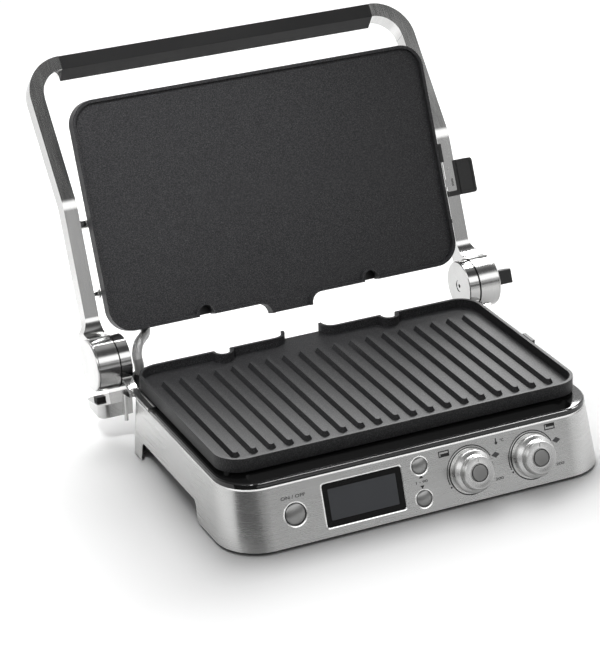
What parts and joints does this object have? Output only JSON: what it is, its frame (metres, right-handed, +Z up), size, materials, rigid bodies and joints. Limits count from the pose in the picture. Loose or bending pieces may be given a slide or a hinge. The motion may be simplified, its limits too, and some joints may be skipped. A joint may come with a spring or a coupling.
{
  "type": "contact grill",
  "caption": "contact grill with a hinged lid on two arms, ribbed lower and flat upper lift-off plates, control panel with knobs, buttons and a display",
  "frame": {"origin": "on the table, under the middle of the base's footprint", "axes": "+X to the right, +Y to the back, +Z up; the control panel faces -Y"},
  "size_m": [0.4599, 0.4889, 0.3365],
  "materials": {
    "stainless": "brushed stainless steel sheet, grain along the width",
    "black_plastic": "matt black moulded plastic",
    "deck_black": "satin black moulding",
    "rubber": "black rubber",
    "plate_coating": "die-cast aluminium with a black non-stick coating",
    "arm_metal": "polished die-cast aluminium",
    "chrome": "polished metal",
    "knob_metal": "turned satin metal",
    "dark_ring": "black gloss trim",
    "display": "grey liquid-crystal window",
    "inner_steel": "plain steel",
    "element": "dark heat-proof steel sheath",
    "board": "circuit board and moulded blocks",
    "conduit_sleeve": "grey woven sleeve over the lid's supply leads"
  },
  "bodies": {
    "base": {"steel_wrap": "stainless", "floor_pan": "black_plastic", "rubber_feet": "rubber", "deck_frame": "deck_black", "lower_reflector": "inner_steel", "lower_heater": "element", "lower_heater_supports": "inner_steel", "lower_sensor": "inner_steel", "panel_carrier": "black_plastic", "control_board": "board", "encoder_left": "inner_steel", "encoder_right": "inner_steel", "display_bezel": "dark_ring", "display_glass": "display", "display_module": "board", "start_ring": "knob_metal", "knob_ring_left": "knob_metal", "knob_ring_right": "knob_metal", "hinge_bracket_left": "chrome", "hinge_bracket_right": "chrome", "hinge_axle_left": "inner_steel", "hinge_axle_right": "inner_steel", "shelf_pads": "rubber", "conduit_gland": "black_plastic", "conduit": "conduit_sleeve", "cord_gland": "black_plastic", "terminal_block": "board"},
    "lower_plate": {"lower_plate": "plate_coating"},
    "lower_catch": {"lower_catch": "black_plastic"},
    "drip_tray": {"drip_tray": "black_plastic"},
    "knob_left": {"knob_left": "knob_metal"},
    "knob_right": {"knob_right": "knob_metal"},
    "knob_button_left": {"knob_button_left": "knob_metal"},
    "knob_button_right": {"knob_button_right": "knob_metal"},
    "start_button": {"start_button": "knob_metal"},
    "timer_up_button": {"timer_up_button": "knob_metal"},
    "timer_down_button": {"timer_down_button": "knob_metal"},
    "arms": {"arm_left": "arm_metal", "arm_right": "arm_metal", "hub_cap_left": "arm_metal", "hub_cap_right": "arm_metal", "handle_rod": "inner_steel", "handle_grip": "black_plastic", "pivot_pins": "inner_steel"},
    "height_slider": {"height_slider": "black_plastic", "slider_clip": "chrome"},
    "hinge_release": {"hinge_release": "black_plastic"},
    "lid": {"lid_frame": "black_plastic", "lid_cover": "stainless", "upper_reflector": "inner_steel", "upper_heater": "element", "upper_heater_supports": "inner_steel", "upper_sensor": "inner_steel", "stop_pins": "inner_steel", "lid_grommet": "black_plastic"},
    "upper_plate": {"upper_plate": "plate_coating"},
    "upper_catch": {"upper_catch": "black_plastic"}
  },
  "joints": [
    {"name": "arm_hinge", "type": "hinge", "parent": "base", "child": "arms", "pos_m": [0, 0.1502, 0.081], "axis": [1, 0, 0], "range_deg": [-67.7, 112.3], "deforming": ["conduit"]},
    {"name": "lid_tilt", "type": "hinge", "parent": "arms", "child": "lid", "pos_m": [0, 0.22298, 0.19706], "axis": [-1, 0, 0], "range_deg": [-8, 0]},
    {"name": "lower_plate_lift", "type": "slide", "parent": "base", "child": "lower_plate", "axis": [0, 0, -1], "range_m": [-0.03, 0]},
    {"name": "upper_plate_pull", "type": "slide", "parent": "lid", "child": "upper_plate", "axis": [0, 0.9252, -0.3795], "range_m": [-0.03, 0]},
    {"name": "lower_catch_press", "type": "slide", "parent": "base", "child": "lower_catch", "axis": [-1, 0, 0], "range_m": [0, 0.001], "stiffness_N_per_m": 400, "springref_m": -0.001},
    {"name": "upper_catch_press", "type": "slide", "parent": "lid", "child": "upper_catch", "axis": [-1, 0, 0], "range_m": [0, 0.001], "stiffness_N_per_m": 400, "springref_m": -0.001},
    {"name": "tray_slide", "type": "slide", "parent": "base", "child": "drip_tray", "axis": [0, 1, 0], "range_m": [0, 0.085]},
    {"name": "knob_left_turn", "type": "hinge", "parent": "base", "child": "knob_left", "pos_m": [0.0484, -0.12945, 0.03044], "axis": [0, -0.9507, 0.3101], "range_deg": [-120, 120]},
    {"name": "knob_right_turn", "type": "hinge", "parent": "base", "child": "knob_right", "pos_m": [0.1128, -0.12945, 0.03044], "axis": [0, -0.9507, 0.3101], "range_deg": [-120, 120]},
    {"name": "knob_left_push", "type": "slide", "parent": "knob_left", "child": "knob_button_left", "axis": [0, 0.9507, -0.3101], "range_m": [0, 0.0015], "stiffness_N_per_m": 400, "springref_m": -0.001},
    {"name": "knob_right_push", "type": "slide", "parent": "knob_right", "child": "knob_button_right", "axis": [0, 0.9507, -0.3101], "range_m": [0, 0.0015], "stiffness_N_per_m": 400, "springref_m": -0.001},
    {"name": "start_press", "type": "slide", "parent": "base", "child": "start_button", "axis": [0, 0.9507, -0.3101], "range_m": [0, 0.0015], "stiffness_N_per_m": 400, "springref_m": -0.001},
    {"name": "timer_up_press", "type": "slide", "parent": "base", "child": "timer_up_button", "axis": [0, 0.9507, -0.3101], "range_m": [0, 0.0015], "stiffness_N_per_m": 400, "springref_m": -0.001},
    {"name": "timer_down_press", "type": "slide", "parent": "base", "child": "timer_down_button", "axis": [0, 0.9507, -0.3101], "range_m": [0, 0.0015], "stiffness_N_per_m": 400, "springref_m": -0.001},
    {"name": "height_slide", "type": "slide", "parent": "arms", "child": "height_slider", "axis": [0, 0.3795, 0.9252], "range_m": [-0.03, 0]},
    {"name": "hinge_release_press", "type": "slide", "parent": "arms", "child": "hinge_release", "axis": [-1, 0, 0], "range_m": [0, 0.005], "stiffness_N_per_m": 300, "springref_m": -0.001}
  ]
}
